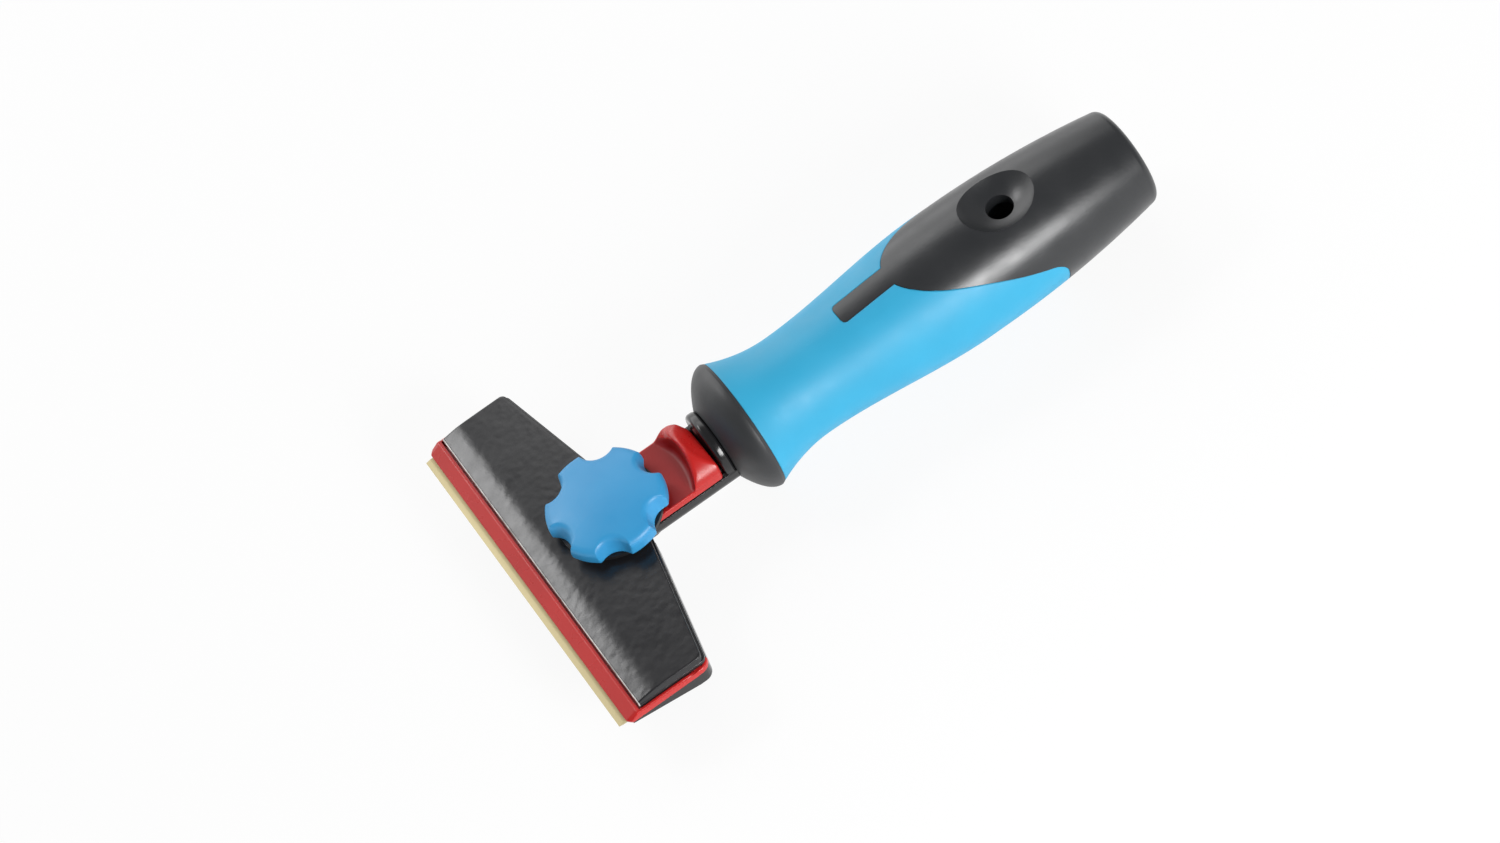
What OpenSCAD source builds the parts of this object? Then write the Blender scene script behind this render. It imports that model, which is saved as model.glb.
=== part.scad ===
// Window scraper: a wide blade clamped in a T-shaped head by a star knob, a red guard
// that slides out over the cutting edge, and a two-component handle on the frame's tang.
// The part is drawn from the cutting edge (y = 0, z = 0 at mid blade, x along the edge)
// and placed at the end with its origin under the middle of the whole tool.

/* [Blade] */
// Width of the blade along its cutting edge
blade_w = 100; // [80:1:150]
// Depth of the blade from its cutting edge to its back
blade_d = 20; // [18:0.5:22]
// Thickness of the blade
blade_t = 0.8; // [0.4:0.1:1.2]
// Depth of the ground bevel behind the cutting edge
bevel_d = 1.4; // [0.6:0.1:2]
// Thickness left at the cutting edge
edge_t = 0.1; // [0.05:0.05:0.2]

/* [Locating pins] */
// Radius of the pins that hold the blade square
pin_r = 2; // [1.5:0.25:2.5]
// Distance from the end of the blade to a pin
pin_in = 18; // [12:1:25]
// Distance from the back of the blade to the pins
pin_back = 7; // [6:0.5:8]
// How far a pin is set into the frame
pin_set = 1.6; // [1:0.1:2]
// How far a pin stands into the clamp plate
pin_rise = 1.1; // [0.6:0.1:1.4]

/* [Frame head] */
// How far the frame stands out past each end of the blade
head_over = 1; // [0.5:0.1:2]
// Distance from the cutting edge to the frame's front lip
lip_y = 3.5; // [3:0.25:5]
// Thickness of the frame's front lip under the blade
lip_t = 0.7; // [0.5:0.1:1.2]
// Distance from the back of the blade to the back of the head's ends
head_back = 7.1; // [6:0.1:9]
// Distance from the back of the head's ends to its back at the neck
head_sweep = 7.9; // [7:0.1:9]
// Half width of the head's back where it meets the neck
root_x = 12; // [10.5:0.5:16]
// Thickness of the frame behind the blade
head_t = 4.9; // [4.4:0.1:6]
// Distance from the back of the blade to where the frame has its full thickness
wedge_back = 3; // [0:0.5:4]
// Radius of the head's back corners
head_corner_r = 3; // [1.5:0.25:4]

/* [Neck] */
// Width of the neck
neck_w = 20; // [18:0.5:22]
// Thickness of the neck's two side walls
neck_wall = 2.3; // [1.8:0.1:3]
// Height of the side walls above the neck's floor
neck_wall_h = 3.1; // [2.6:0.1:3.6]
// Thickness of the neck's floor
neck_floor = 2.4; // [2:0.1:3.2]
// Radius of the neck's lower edges
neck_edge_r = 1.8; // [0.5:0.1:2]
// Gap between the clamp plate and the side walls
neck_gap = 0.8; // [0.5:0.1:1.5]
// Length of the neck behind the head
neck_l = 27.6; // [26:0.2:32]
// Width of the gusset under the front of the neck
gusset_w = 14; // [13:0.5:18]
// Length of the gusset's full depth behind the head
gusset_flat = 2; // [1.8:0.1:4]
// Length of the gusset's slope up to the neck
gusset_slope = 8; // [4:0.5:12]
// Radius of the round collar at the end of the neck
collar_r = 10; // [9:0.25:12]
// Length of the collar
collar_l = 3; // [2.5:0.1:4]
// Radius of the collar's rounded edges
collar_edge_r = 1.1; // [0.5:0.1:1.2]
// Radius of the tang inside the handle
tang_r = 5; // [4:0.25:6]
// Length of the tang inside the handle
tang_l = 43; // [30:1:55]

/* [Blade guard] */
// Distance from the cutting edge to the guard's front at rest
guard_y = 2.2; // [1.5:0.1:3]
// How far the guard slides out over the cutting edge
guard_travel = 3.5; // [3:0.1:4]
// Thickness of the guard's sheet
sheet_t = 1.9; // [1.5:0.1:2.4]
// How far the guard stands out past each end of the frame
guard_over = 0.7; // [0.3:0.1:1.5]
// Depth of the front bar
bar_d = 3.7; // [3:0.1:4]
// Depth of the bar's flat top behind its sloping front face
bar_top_d = 0.4; // [0.4:0.1:1.5]
// Height of the bar's upright front face
bar_nose_h = 0.5; // [0.3:0.1:0.9]
// Height of the bar above the sheet
bar_rise = 0.5; // [0.2:0.1:1]
// Depth of the groove between the bar and the clamp plate, from the top of the sheet
groove_h = 1.2; // [0.6:0.1:1.3]
// How far the sheet's back edges stay inside those of the clamp plate
sheet_in = 1.6; // [1:0.1:2]
// Cut-off of the bar's front corners
bar_corner = 1.2; // [0.5:0.1:2.5]
// Width of the rib along each end of the guard
rib_w = 0.8; // [0.6:0.1:1.4]
// Height of the end rib above the sheet
rib_rise = 0.4; // [0.2:0.1:1]

/* [Thumb rest] */
// Gap between the washer's hub and the front of the thumb rest with the guard out
thumb_clear = 2.5; // [0.5:0.1:3]
// Gap between the thumb rest's floor and the washer above it
thumb_under = 0.3; // [0.3:0.1:0.8]
// Gap between the thumb rest and the tops of the neck's side walls
thumb_over = 0.8; // [0.3:0.1:1.2]
// Width of the rails that run forwards from the thumb rest over the neck's walls
rail_w = 1.3; // [0.8:0.1:2]
// Gap between the clamp plate and the rails with the guard out
rail_clear = 0.4; // [0.3:0.1:1]
// Gap between the back of the thumb rest and the collar
thumb_gap = 1.2; // [0.8:0.1:2]
// Distance from the back of the thumb rest to the thumb scoop
crest_d = 5.4; // [4.6:0.1:6.5]
// Radius of the thumb scoop seen from above
scoop_r = 22; // [17:0.5:26]
// Radius between the scoop's floor and its wall
scoop_fillet = 1.8; // [1:0.1:2.5]
// Lean of the scoop's wall, outwards per unit of height
scoop_lean = 0.12; // [0:0.02:0.2]
// Height of the thumb rest's crest above its floor
crest_h = 7; // [6:0.1:8]
// Drop of the crest's arch from the middle to the sides
crest_drop = 3.4; // [2:0.1:4]
// Radius between the crest's arch and the sides
crest_side_r = 2.5; // [1:0.1:2.8]
// Depth of the sloping back of the crest
crest_back_d = 4.5; // [3:0.1:4.6]
// Height of the sloping back of the crest
crest_back_h = 4.6; // [1.5:0.1:5]

/* [Clamp plate] */
// Distance from the guard's bar to the front of the clamp plate
clamp_gap = 1; // [0.6:0.1:1.5]
// Thickness of the clamp plate
clamp_t = 2.7; // [2.6:0.1:3.5]
// Depth of the bent front of the clamp plate
bend_d = 5.6; // [4:0.1:5.8]
// Drop of the bent front of the clamp plate
bend_drop = 1.3; // [0.8:0.1:1.5]
// Radius of the bend
bend_r = 24; // [10:1:36]
// Radius of the clamp plate's back corners
clamp_corner_r = 2.8; // [1.5:0.1:3.5]
// Width of the ledge round the ends and the back of the clamp plate
ledge_w = 0.6; // [0.4:0.1:1.2]
// Height of the ledge above the underside of the clamp plate
ledge_h = 1.2; // [0.8:0.1:1.3]

/* [Clamp bolt and knob] */
// Distance from the back of the head to the bolt
bolt_in = 4.7; // [4.5:0.1:5.5]
// Radius of the bolt
bolt_r = 3; // [2.5:0.25:3.25]
// Size across the flats of the bolt's hexagon head
bolt_head_af = 10; // [9:0.5:11]
// Height of the bolt's head
bolt_head_h = 2.4; // [2:0.1:2.6]
// Radius of the thrust washer's hub
washer_hub_r = 6; // [5:0.25:7]
// Height of the thrust washer's hub under its flange
washer_hub_h = 1.4; // [1.2:0.1:2]
// How far the washer's flange stays inside the knob's outer radius
washer_in = 1.7; // [1:0.1:4]
// Thickness of the washer's flange
washer_t = 1.2; // [0.8:0.1:1.6]
// Outer radius of the knob
knob_r = 16; // [14:0.25:16.25]
// Height of the knob's rim
knob_rim_h = 4.6; // [4:0.1:6]
// Rise of the domed top of the knob
knob_dome = 1.9; // [1:0.1:3]
// Radius of the knob's upper edge
knob_edge_r = 2; // [1:0.1:2.2]
// Number of lobes on the knob
knob_lobes = 6; // [5:1:8]
// Radius of the hollow between two lobes
hollow_r = 5; // [3.5:0.1:5.5]
// Distance from the knob's outer radius to the axis of a hollow
hollow_out = 2; // [1.8:0.1:3]
// Inward lean of the hollows towards the top, in degrees
hollow_lean = 16; // [0:1:18]
// Direction of the first hollow, in degrees from the blade's direction
hollow_turn = 37; // [0:1:60]
// Radius of the threaded insert in the knob
insert_r = 5; // [4.5:0.25:6]
// Height of the threaded insert
insert_h = 5.4; // [4.5:0.1:5.6]

/* [Handle] */
// Height of the handle's axis above the blade
axis_z = 4.5; // [3.5:0.1:5.5]
// Length of the domed nose from the neck to the nose rim
nose_l = 8; // [7:0.1:12]
// Radius of the nose rim
nose_r = 18.6; // [17:0.1:20]
// Width of the bare land between the nose and the grip
nose_land = 0.9; // [0.5:0.1:2]
// Length from the nose rim to the waist
waist_l = 17.4; // [14:0.2:22]
// Radius of the waist
waist_r = 14.6; // [13.5:0.1:16]
// Length from the waist to the belly
belly_rise_l = 49; // [40:1:56]
// Length of the straight belly
belly_l = 6; // [2:0.5:10]
// Radius of the belly
belly_r = 18.35; // [17.5:0.05:19]
// Length from the belly to the end of the handle
tail_l = 50.2; // [44:0.2:56]
// Radius of the handle's end
tail_r = 13.85; // [13.5:0.05:15]
// Radius of the handle's end edge
tail_edge_r = 2.4; // [0.8:0.1:2.6]

/* [Grip] */
// Thickness of the soft grip
grip_t = 2.4; // [1.6:0.1:3]
// Width of the bare tongue on top of the handle
tongue_w = 6.2; // [4:0.1:8]
// Length of the bare tongue ahead of the bare tail
tongue_l = 15.6; // [10:0.2:18]
// Radius of the tongue's end corners
tongue_r = 1.3; // [0.5:0.1:1.9]
// Distance from the handle's end to the grip's back edge
bare_back = 31.3; // [28:0.1:34]
// Height above the axis at which the grip's back edge turns into its sloping side edge
bare_corner_z = 1; // [-1:0.1:3]
// Radius of that turn
bare_corner_r = 6.5; // [4:0.5:8]
// Length of the side edge from the turn forwards to its bend
bare_rear_l = 21.9; // [18:0.1:25]
// Height of the bend above the axis
bare_bend_z = 11; // [10:0.1:12]
// Radius of the bend
bare_bend_r = 120; // [60:5:140]
// Length of the side edge from its bend to the top of the handle
bare_front_l = 19.2; // [16:0.1:22]

/* [Pole socket and hang hole] */
// Radius of the pole socket in the handle's end
socket_r = 10.5; // [8:0.25:11]
// Depth of the pole socket
socket_l = 60; // [50:1:65]
// Radius of the hang hole
hang_r = 3.75; // [2.5:0.25:4.5]
// Distance from the handle's end to the hang hole
hang_back = 37.5; // [34:0.5:42]
// Depth of the dish round the hang hole
dish_depth = 5; // [3:0.1:5.2]
// Radius of the ball that shapes the dish
dish_r = 14; // [12:0.5:18]

/* [Fits] */
// Gap above and below the sliding guard
slide_gap = 0.1; // [0.05:0.05:0.3]
// Gap at each side of the guard in the neck
side_gap = 0.3; // [0.2:0.05:0.5]
// Gap round the bolt in the frame and round the pins in the blade
hole_gap = 0.15; // [0.1:0.05:0.3]
// Gap round the bolt and the pins in the parts that move along them
pass_gap = 0.4; // [0.3:0.05:0.6]
// Gap round the bolt in the threaded insert
thread_gap = 0.05; // [0.02:0.01:0.08]
// Gap round the bolt's head in its pocket
head_gap = 0.15; // [0.1:0.05:0.3]
// Gap between the clamp plate's ends and the guard's ribs
rib_gap = 0.2; // [0.2:0.05:0.6]

/* [Hidden] */
$fn = 96;
// Steps in a rounded corner and in each stretch of the handle's outline
arc_steps = 6;
outline_steps = 14;
// Overshoot of cuts that go right through
cut = 1;
// Radii of small edges, from a crisp one to a well rounded one
fine_r = 0.2;
small_r = 0.4;
soft_r = 0.8;

// Heights, from the blade's middle plane
seat_z = -blade_t / 2;
deck_z = blade_t / 2;
sheet_z = deck_z + slide_gap;
sheet_top = sheet_z + sheet_t;
clamp_z = sheet_top + slide_gap;
clamp_top = clamp_z + clamp_t;
head_low = deck_z - head_t;
wall_top = deck_z + neck_wall_h;
neck_low = deck_z - neck_floor;
rest_z = wall_top + thumb_over;
flange_z = clamp_top + washer_hub_h;
thumb_floor = flange_z - thumb_under;
crest_z = thumb_floor + crest_h;
knob_z = flange_z + washer_t + slide_gap;
rim_top = knob_z + knob_rim_h;

// Places along the tool
head_d = blade_d + head_back;
root_y = head_d + head_sweep;
wedge_y = blade_d + wedge_back;
bolt_y = root_y - bolt_in;
pin_y = blade_d - pin_back;
guard_back = guard_y + bar_d;
clamp_y = guard_back + clamp_gap;
wall_y = root_y + neck_gap;
neck_end_y = root_y + neck_l;
collar_y = neck_end_y - collar_l;
thumb_y = bolt_y + washer_hub_r + guard_travel + thumb_clear;
rail_y = root_y + guard_travel + rail_clear;
thumb_end = collar_y - thumb_gap;
scoop_y = thumb_end - crest_d - scoop_r;
rim_y = neck_end_y + nose_l;
waist_y = rim_y + waist_l;
belly_y = waist_y + belly_rise_l;
tail_y = belly_y + belly_l;
end_y = tail_y + tail_l;
grip_y = rim_y + nose_land;
bare_y = end_y - bare_back;
bare_bend_y = bare_y - bare_rear_l;
bare_front_y = bare_bend_y - bare_front_l;
tongue_y = bare_front_y - tongue_l;
hang_y = end_y - hang_back;

// Half widths
frame_half = blade_w / 2 + head_over;
guard_half = frame_half + guard_over;
clamp_half = guard_half - rib_w - rib_gap;
pin_x = blade_w / 2 - pin_in;
channel_half = neck_w / 2 - neck_wall;

function unit(v) = v / norm(v);
function corner(c, i) = let (p = c[(i + len(c)) % len(c)]) [p.x, p.y];
// Outline through corners [x, y, radius], each rounded by an arc of its radius
function rounded(c) = [
    for (i = [0 : len(c) - 1])
        let (
            p = corner(c, i),
            a = unit(corner(c, i - 1) - p),
            b = unit(corner(c, i + 1) - p),
            r = c[i].z,
            half = acos(a * b) / 2,
            m = p + unit(a + b) * r / sin(half),
            u = p + a * r / tan(half) - m,
            w = p + b * r / tan(half) - m,
            turn = 180 - 2 * half
        )
        each r == 0 ? [p] : [
            for (k = [0 : arc_steps])
                m + (sin(turn * (1 - k / arc_steps)) * u + sin(turn * k / arc_steps) * w) / sin(turn)
        ]
];

// Radius of the handle at a distance y from the cutting edge, behind the nose rim
function flare(t) = waist_r + (nose_r - waist_r) * pow(1 - t, 2);
function swell(t) = waist_r + (belly_r - waist_r) * (3 * t * t - 2 * t * t * t);
function taper(t) = belly_r - (belly_r - tail_r) * t * t;
function handle_r(y) =
    y < waist_y ? flare((y - rim_y) / waist_l) :
    y < belly_y ? swell((y - waist_y) / belly_rise_l) :
    y < tail_y ? belly_r : taper((y - tail_y) / tail_l);
// Stations along the handle from a to b, with every change of curve between them
function stations(a, b) = let (
    marks = [a, for (y = [waist_y, belly_y, tail_y]) if (y > a && y < b) y, b]
) [
    for (i = [0 : len(marks) - 2], k = [0 : outline_steps - 1])
        marks[i] + (marks[i + 1] - marks[i]) * k / outline_steps,
    b
];
// Domed nose, a parabola from the collar to the nose rim
nose_points = [
    for (k = [0 : outline_steps - 1])
        let (t = k / outline_steps)
        [nose_r - (nose_r - collar_r) * pow(1 - t, 2), neck_end_y + nose_l * t]
];

module place() {
    translate([0, -end_y / 2, max(nose_r, belly_r) - axis_z]) children();
}
// Turns an outline of [radius, y] points round the handle's axis
module turned(points) {
    translate([0, 0, axis_z]) rotate([-90, 0, 0]) rotate_extrude() polygon(points);
}
// Extrudes a [y, z] outline across the tool
module across(points, w) {
    rotate([90, 0, 90]) linear_extrude(w, center = true) polygon(points);
}
// Extrudes an [x, z] outline along the tool from y0 to y1
module along(points, y0, y1) {
    translate([0, y1, 0]) rotate([90, 0, 0]) linear_extrude(y1 - y0) polygon(points);
}
// Upright slab of an [x, y] outline between two heights
module slab(points, z0, z1) {
    translate([0, 0, z0]) linear_extrude(z1 - z0) polygon(points);
}
module upright(r, x, y, z0, z1) {
    translate([x, y, z0]) cylinder(r = r, h = z1 - z0);
}
// Cylinder on the handle's axis from y0 to y1
module rod(r, y0, y1) {
    translate([0, y0, axis_z]) rotate([-90, 0, 0]) cylinder(r = r, h = y1 - y0);
}
// Slot for an upright pin that runs backwards along the tool by the guard's travel
module travel_slot(r, x, y) {
    for (s = [0, guard_travel]) upright(r, x, y + s, sheet_z - cut, rest_z);
    translate([x - r, y, sheet_z - cut]) cube([2 * r, guard_travel, rest_z - sheet_z + cut]);
}

// T-shaped outline of the head: straight front and ends, back edges that run to the neck
function head_outline(half, front, ends, back, front_r, corner_r) = rounded([
    [-half, front, front_r], [half, front, front_r], [half, ends, corner_r],
    [root_x, back, 0], [-root_x, back, 0], [-half, ends, corner_r]
]);

module frame() {
    wedge = [
        [lip_y, seat_z], [lip_y, seat_z - lip_t], [wedge_y, head_low], [root_y + cut, head_low],
        [root_y + cut, deck_z], [blade_d, deck_z], [blade_d, seat_z]
    ];
    gusset_y = root_y + gusset_flat;
    gusset = [
        [bolt_y, head_low], [gusset_y, head_low], [gusset_y + gusset_slope, neck_low],
        [gusset_y + gusset_slope, deck_z], [bolt_y, deck_z]
    ];
    neck = rounded([
        [-neck_w / 2, wall_top, small_r], [-neck_w / 2, neck_low, neck_edge_r],
        [neck_w / 2, neck_low, neck_edge_r], [neck_w / 2, wall_top, small_r]
    ]);
    collar = rounded([
        [0, collar_y, 0], [collar_r, collar_y, collar_edge_r],
        [collar_r, neck_end_y, collar_edge_r], [0, neck_end_y, 0]
    ]);
    color("#232427") difference() {
        union() {
            intersection() {
                slab(head_outline(frame_half, lip_y, head_d, root_y, 0, head_corner_r), head_low, deck_z);
                across(wedge, 2 * frame_half + cut);
            }
            across(gusset, gusset_w);
            difference() {
                along(neck, bolt_y, neck_end_y);
                // Open channel for the guard, and no walls under the clamp plate
                translate([-channel_half, bolt_y - cut, deck_z])
                    cube([2 * channel_half, collar_y - bolt_y + cut, neck_wall_h + cut]);
                translate([-neck_w, bolt_y - cut, deck_z])
                    cube([2 * neck_w, wall_y - bolt_y + cut, neck_wall_h + cut]);
            }
            turned(collar);
            rod(tang_r, neck_end_y - cut, neck_end_y + tang_l);
        }
        for (s = [-1, 1]) upright(pin_r, s * pin_x, pin_y, seat_z - pin_set, deck_z);
        upright(bolt_r + hole_gap, 0, bolt_y, head_low - cut, deck_z + cut);
        bolt_head(head_gap, head_low - cut);
    }
}

// Hexagon of the bolt's head, grown by a gap and reaching down to a height
module bolt_head(gap, low) {
    top = head_low + bolt_head_h;
    translate([0, bolt_y, low])
        cylinder(r = (bolt_head_af / 2 + gap) / cos(30), h = top - low, $fn = 6);
}

module blade() {
    half_edge = edge_t / 2;
    section = [
        [0, -half_edge], [bevel_d, seat_z], [blade_d, seat_z], [blade_d, deck_z],
        [bevel_d, deck_z], [0, half_edge]
    ];
    color("#d2c79c") difference() {
        across(section, blade_w);
        for (s = [-1, 1]) upright(pin_r + hole_gap, s * pin_x, pin_y, seat_z - cut, deck_z + cut);
    }
}

module locating_pins() {
    color("silver") for (s = [-1, 1])
        upright(pin_r, s * pin_x, pin_y, seat_z - pin_set, clamp_z + pin_rise);
}

module blade_guard() {
    bar = rounded([
        [guard_y, sheet_z, 0], [guard_back, sheet_z, 0], [guard_back, sheet_top + bar_rise, fine_r],
        [guard_back - bar_top_d, sheet_top + bar_rise, small_r], [guard_y, sheet_z + bar_nose_h, fine_r]
    ]);
    plan = rounded([
        [-guard_half + bar_corner, guard_y, small_r], [guard_half - bar_corner, guard_y, small_r],
        [guard_half, guard_y + bar_corner, small_r], [guard_half, head_d - sheet_in, head_corner_r],
        [root_x, root_y - sheet_in, 0], [-root_x, root_y - sheet_in, 0],
        [-guard_half, head_d - sheet_in, head_corner_r], [-guard_half, guard_y + bar_corner, small_r]
    ]);
    rib_back = head_d - sheet_in;
    tongue_half = channel_half - side_gap;
    color("#c4161f") difference() {
        union() {
            slab(plan, sheet_z, sheet_top);
            intersection() {
                slab(plan, sheet_z, sheet_top + bar_rise);
                across(bar, 2 * guard_half);
            }
            for (s = [-1, 1]) intersection() {
                slab(plan, sheet_z, sheet_top + rib_rise);
                translate([s * (guard_half - rib_w / 2), (guard_back + rib_back) / 2, sheet_top])
                    cube([rib_w, rib_back - guard_back + 2 * cut, 2 * sheet_t], center = true);
            }
            // Tongue that runs in the neck's channel, low under the clamp plate
            translate([-tongue_half, bolt_y, sheet_z])
                cube([2 * tongue_half, thumb_end - bolt_y, sheet_t]);
            translate([-tongue_half, thumb_y, sheet_z])
                cube([2 * tongue_half, thumb_end - thumb_y, thumb_floor - sheet_z]);
            thumb_rest();
        }
        for (s = [-1, 1]) travel_slot(pin_r + pass_gap, s * pin_x, pin_y);
        travel_slot(bolt_r + pass_gap, 0, bolt_y);
        // Groove that parts the bar from the clamp plate, between the end ribs
        translate([rib_w - guard_half, guard_back, sheet_top - groove_h])
            cube([2 * (guard_half - rib_w), clamp_gap, groove_h + cut]);
    }
}

// Block over the neck with an arched crest, hollowed by a round scoop for the thumb, and
// a rail that runs forwards from each side of it
module thumb_rest() {
    half = neck_w / 2;
    arch_r = (half * half + crest_drop * crest_drop) / (2 * crest_drop);
    arch_a = asin(half / arch_r);
    front = rounded([
        [-half, rest_z, 0], [half, rest_z, 0],
        for (k = [0 : 2 * arc_steps])
            let (a = arch_a * (1 - k / arc_steps))
            [arch_r * sin(a), crest_z - arch_r + arch_r * cos(a), k % (2 * arc_steps) == 0 ? crest_side_r : 0]
    ]);
    side = rounded([
        [thumb_y, rest_z, 0], [thumb_end, rest_z, 0], [thumb_end, crest_z - crest_back_h, soft_r],
        [thumb_end - crest_back_d, crest_z, soft_r], [thumb_y, crest_z, 0]
    ]);
    high = crest_z + cut;
    scoop = rounded([
        [0, thumb_floor, 0], [scoop_r, thumb_floor, scoop_fillet],
        [scoop_r + scoop_lean * (high - thumb_floor), high, 0], [0, high, 0]
    ]);
    difference() {
        intersection() {
            along(front, thumb_y, thumb_end);
            across(side, 2 * neck_w);
        }
        translate([0, scoop_y, 0]) rotate_extrude() polygon(scoop);
    }
    for (s = [-1, 1]) translate([s * (half - rail_w / 2) - rail_w / 2, rail_y, rest_z])
        cube([rail_w, thumb_y - rail_y + cut, thumb_floor - rest_z]);
}

module clamp_plate() {
    section = rounded([
        [clamp_y, clamp_z, fine_r], [root_y, clamp_z, 0], [root_y, clamp_top, small_r],
        [clamp_y + bend_d, clamp_top, bend_r], [clamp_y, clamp_top - bend_drop, soft_r]
    ]);
    pad_half = clamp_half - ledge_w;
    pad_d = head_d - ledge_w;
    pad_back = root_y - ledge_w;
    color("#2a2a2d") difference() {
        intersection() {
            union() {
                slab(head_outline(clamp_half, clamp_y, head_d, root_y, small_r, clamp_corner_r),
                    clamp_z, clamp_z + ledge_h);
                slab(head_outline(pad_half, clamp_y, pad_d, pad_back, small_r, clamp_corner_r),
                    clamp_z, clamp_top);
            }
            across(section, 2 * clamp_half + cut);
        }
        for (s = [-1, 1])
            upright(pin_r + pass_gap, s * pin_x, pin_y, clamp_z - cut, clamp_z + pin_rise + slide_gap);
        upright(bolt_r + pass_gap, 0, bolt_y, clamp_z - cut, clamp_top + cut);
    }
}

module clamp_bolt() {
    bolt_end = knob_z + insert_h - 2 * thread_gap;
    chamfer = bolt_r / 6;
    color("silver") union() {
        bolt_head(0, head_low);
        upright(bolt_r, 0, bolt_y, head_low + cut, bolt_end - chamfer);
        translate([0, bolt_y, bolt_end - chamfer])
            cylinder(r1 = bolt_r, r2 = bolt_r - chamfer, h = chamfer);
    }
}

// Thrust washer: a hub on the clamp plate and a wide flange under the knob
module knob_washer() {
    color("#1d1d1f") difference() {
        union() {
            upright(washer_hub_r, 0, bolt_y, clamp_top, flange_z + washer_t);
            upright(knob_r - washer_in, 0, bolt_y, flange_z, flange_z + washer_t);
        }
        upright(bolt_r + pass_gap, 0, bolt_y, clamp_top - cut, knob_z + cut);
    }
}

module knob_insert() {
    color("#b5923f") difference() {
        upright(insert_r, 0, bolt_y, knob_z, knob_z + insert_h);
        upright(bolt_r + thread_gap, 0, bolt_y, knob_z - cut, knob_z + insert_h + cut);
    }
}

module knob() {
    dome_r = (knob_r * knob_r + knob_dome * knob_dome) / (2 * knob_dome);
    dome_z = rim_top + knob_dome - dome_r;
    profile = rounded([
        [0, knob_z, 0], [knob_r, knob_z, soft_r], [knob_r, rim_top, knob_edge_r],
        for (k = [arc_steps - 2 : -1 : 0])
            let (x = knob_r * k / arc_steps)
            [x, dome_z + sqrt(dome_r * dome_r - x * x), 0]
    ]);
    color("#4aa3e0") difference() {
        translate([0, bolt_y, 0]) rotate_extrude() polygon(profile);
        translate([0, bolt_y, (knob_z + rim_top) / 2]) for (k = [0 : knob_lobes - 1])
            rotate([0, 0, hollow_turn + 360 * k / knob_lobes])
                translate([knob_r + hollow_out, 0, 0])
                    rotate([0, -hollow_lean, 0])
                        cylinder(r = hollow_r, h = 4 * knob_rim_h, center = true);
        upright(insert_r, 0, bolt_y, knob_z - cut, knob_z + insert_h);
    }
}

// What the grip leaves bare: all that lies above and behind its sloping side edge
module bare_tail() {
    top = handle_r(bare_front_y);
    slope = (top - bare_bend_z) / bare_front_l;
    ahead = 4 * cut;
    far = 2 * nose_r;
    translate([0, 0, axis_z]) across(rounded([
        [bare_front_y - ahead, top + slope * ahead, 0], [bare_bend_y, bare_bend_z, bare_bend_r],
        [bare_y, bare_corner_z, bare_corner_r], [bare_y, -far, 0], [end_y, -far, 0],
        [end_y, far, 0], [bare_front_y - ahead, far, 0]
    ]), 2 * far);
}

// Bare tongue along the top of the handle, ahead of the bare tail
module bare_tongue() {
    half = tongue_w / 2;
    slab(rounded([
        [-half, tongue_y, tongue_r], [half, tongue_y, tongue_r],
        [half, bare_bend_y, 0], [-half, bare_bend_y, 0]
    ]), axis_z, axis_z + 2 * nose_r);
}

// Space of the soft grip, from its inner face out to a given height above the handle's surface
module grip_space(proud) {
    ys = stations(grip_y, bare_y + cut);
    difference() {
        turned(concat(
            [for (y = ys) [handle_r(y) + proud, y]],
            [for (i = [len(ys) - 1 : -1 : 0]) [handle_r(ys[i]) - grip_t, ys[i]]]
        ));
        bare_tail();
        bare_tongue();
    }
}

module hang_hole() {
    upright(hang_r, 0, hang_y, axis_z - belly_r - cut, axis_z + belly_r + cut);
}

module handle_core() {
    tail = rounded([
        [handle_r(end_y - 2 * tail_edge_r), end_y - 2 * tail_edge_r, 0],
        [tail_r, end_y, tail_edge_r], [0, end_y, 0], [0, neck_end_y, 0]
    ]);
    body = [for (y = stations(rim_y, end_y - 3 * tail_edge_r)) [handle_r(y), y]];
    dish_z = handle_r(hang_y) - dish_depth + dish_r;
    color("#3a3b3e") difference() {
        turned(concat(nose_points, body, tail));
        grip_space(cut);
        rod(tang_r, neck_end_y - cut, neck_end_y + tang_l);
        rod(socket_r, end_y - socket_l, end_y + cut);
        hang_hole();
        translate([0, hang_y, axis_z + dish_z]) sphere(dish_r);
    }
}

module grip() {
    color("#45b4e6") difference() {
        grip_space(0);
        hang_hole();
    }
}

place() frame();
place() blade();
place() locating_pins();
place() blade_guard();
place() clamp_plate();
place() clamp_bolt();
place() knob_washer();
place() knob_insert();
place() knob();
place() handle_core();
place() grip();
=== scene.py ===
import math

import bmesh
import bpy
import numpy as np
from mathutils import Matrix, Vector
from mathutils.geometry import tessellate_polygon
from mathutils.kdtree import KDTree


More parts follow.
